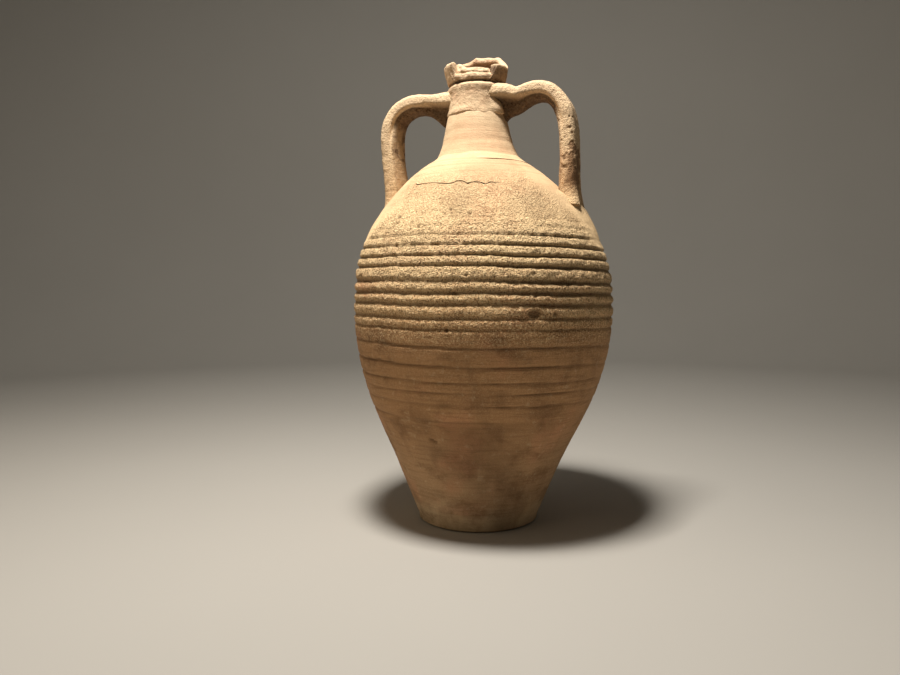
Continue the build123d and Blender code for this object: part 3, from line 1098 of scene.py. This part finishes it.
def pad(node, bearing):
    """Clay smeared round a handle's foot: a lens on the wall that thins to nothing at its edge."""
    turn = np.arange(PAD_COLUMNS)[None, :] * tau / PAD_COLUMNS
    over, under = np.linspace(PAD_POLE, 1.0, PAD_TOP_ROWS), np.linspace(0.97, PAD_POLE, PAD_UNDER_ROWS)
    spread = np.append(over, under)[:, None]
    upward = spread * np.sin(turn)
    height = PAD_HEIGHT + np.where(upward > 0, PAD_RISE, PAD_DROP) * upward
    across = spread * np.cos(turn) * pad_half_width(upward)
    angle = radians(FRONT + bearing) + across / outer_radius(height)
    lift = PAD_THICKNESS * np.clip(1 - spread**2, 0, 1) ** 2 - 0.35 + 0 * turn
    lift[PAD_TOP_ROWS:] = -2.5 - 2.0 * (1 - spread[PAD_TOP_ROWS:])
    places, _ = wall(angle, height, lift)
    ripple = roughness(places, (0.4, 13.0, 71), (0.18, 5.0, 72))
    outward = np.stack([np.cos(angle), np.sin(angle), 0.5 + 0 * angle], axis=-1)
    places[:PAD_TOP_ROWS] += (ripple[..., None] * outward)[:PAD_TOP_ROWS]
    surface = plain(height.shape, grit=0.12, smear=0.9)
    return grid_piece(node, "luting_clay", [(places[:, ::-1], surface)], poles=True)


# -------- the jar

seam_bearing = bearing_of(angles(WALL_COLUMNS))
seam = around(outer_radius(SHOULDER_JOINT), angles(WALL_COLUMNS), SHOULDER_JOINT)
belly_edge = joint_height(seam_bearing, seam) - crack_gap(seam_bearing, seam)
shoulder_edge = joint_height(seam_bearing, seam) + crack_gap(seam_bearing, seam)
scarf_edge = FLOOR_TOP + 1.5

base_disc()
wall_piece("lower_wall", "wall_clay", WALL_ROWS, BASE_TOP, LOWER_JOINT, scarf_edge, LOWER_JOINT)
wall_piece("ribbed_belly", "belly_clay", WALL_ROWS, LOWER_JOINT, belly_edge, LOWER_JOINT, SHOULDER_JOINT)
wall_piece("shoulder", "shoulder_clay", SHOULDER_ROWS, shoulder_edge, NECK_FOOT, SHOULDER_JOINT, NECK_FOOT)
neck()
ridge("neck_coil", "luting_clay", 400, 20, coil_outline, inside_radius=38.0, inside_span=(358.0, 362.0))
ridge("handle_collar", "collar_clay", 420, 64, collar_outline, inside_radius=23.9, inside_span=(406.5, 433.0))
rim()
handle("right_handle", 1, 1.0, right_rise, right_spread)
handle("left_handle", -1, LEFT_ROOT_WIDTH, left_rise, left_spread)
pad("right_handle_pad", RIGHT_HANDLE_BEARING)
pad("left_handle_pad", LEFT_HANDLE_BEARING)


# -------- floor, light and camera

def studio():
    """A plain pale floor that sweeps up into a round backdrop. Its sizes are in metres."""
    reach, corner, top = 1.7, 0.9, 2.4
    columns = 96
    section = [(reach * share, 0.0) for share in (0.0, 0.3, 0.7, 1.0)]
    for turn in np.linspace(0.08, pi / 2, 16):
        section.append((reach + corner * sin(turn), corner * (1 - cos(turn))))
    section.append((reach + corner, top))
    turns = [column * tau / columns for column in range(columns)]
    points = [(out * cos(turn), out * sin(turn), height) for out, height in section for turn in turns]
    faces = []
    for row, column in product(range(len(section) - 1), range(columns)):
        start = row * columns
        after = (column + 1) % columns
        above = start + columns
        faces.append((start + column, start + after, above + after, above + column))
    mesh = smooth_mesh("studio_floor", points, faces)
    paint = Shader("studio_paint")
    tone = paint.mix(paint.noise(size=420.0), srgb(178, 174, 166), srgb(183, 179, 171))
    mesh.materials.append(paint.finish({"Base Color": tone, "Roughness": 0.9}))
    add("studio_floor", mesh)


def softbox(name, place, target, size, watts, color):
    """A square area light that points at a target."""
    data = bpy.data.lights.new(name, "AREA")
    data.size = size
    data.energy = watts
    data.color = color
    light = add(name, data)
    light.location = place
    light.rotation_euler = (Vector(target) - Vector(place)).to_track_quat("-Z", "Y").to_euler()
    light.visible_camera = False


def toward(bearing, reach, height):
    """A place in metres at a bearing from the jar, a reach from its axis and a height."""
    angle = radians(FRONT + bearing)
    return (reach * cos(angle), reach * sin(angle), height)


def camera():
    """The camera, straight in front of the jar at half its height. It looks slightly down and to the left."""
    data = bpy.data.cameras.new("camera")
    data.sensor_width = 36.0
    data.lens = 29.2
    data.clip_start = 0.01
    view = add("camera", data)
    view.location = toward(0.0, reach=0.745, height=0.2305)
    view.rotation_mode = "XYZ"
    aside, down, roll = 2.16, 3.6, 0.25
    view.rotation_euler = (radians(90.0 - down), radians(roll), radians(FRONT + 90.0 + aside))
    bpy.context.scene.camera = view


studio()
softbox("key", toward(-30.0, 0.25, 1.08), (0, 0, 0.25), size=0.18, watts=15.4, color=(1.0, 0.955, 0.895))
softbox("fill", toward(-66.0, 1.1, 0.75), (0, 0, 0.2), size=1.1, watts=1.8, color=(1.0, 0.82, 0.60))
backdrop_middle = toward(180.0, 2.6, 0.5)
softbox("backdrop", toward(180.0, 0.9, 1.5), backdrop_middle, size=0.9, watts=6.5, color=(1.0, 0.97, 0.92))
world = bpy.data.worlds.new("sky")
world.use_nodes = True
world.node_tree.nodes["Background"].inputs["Color"].default_value = (1.0, 0.9, 0.78, 1.0)
world.node_tree.nodes["Background"].inputs["Strength"].default_value = 0.07
bpy.context.scene.world = world
bpy.context.scene.view_settings.view_transform = "Standard"
camera()
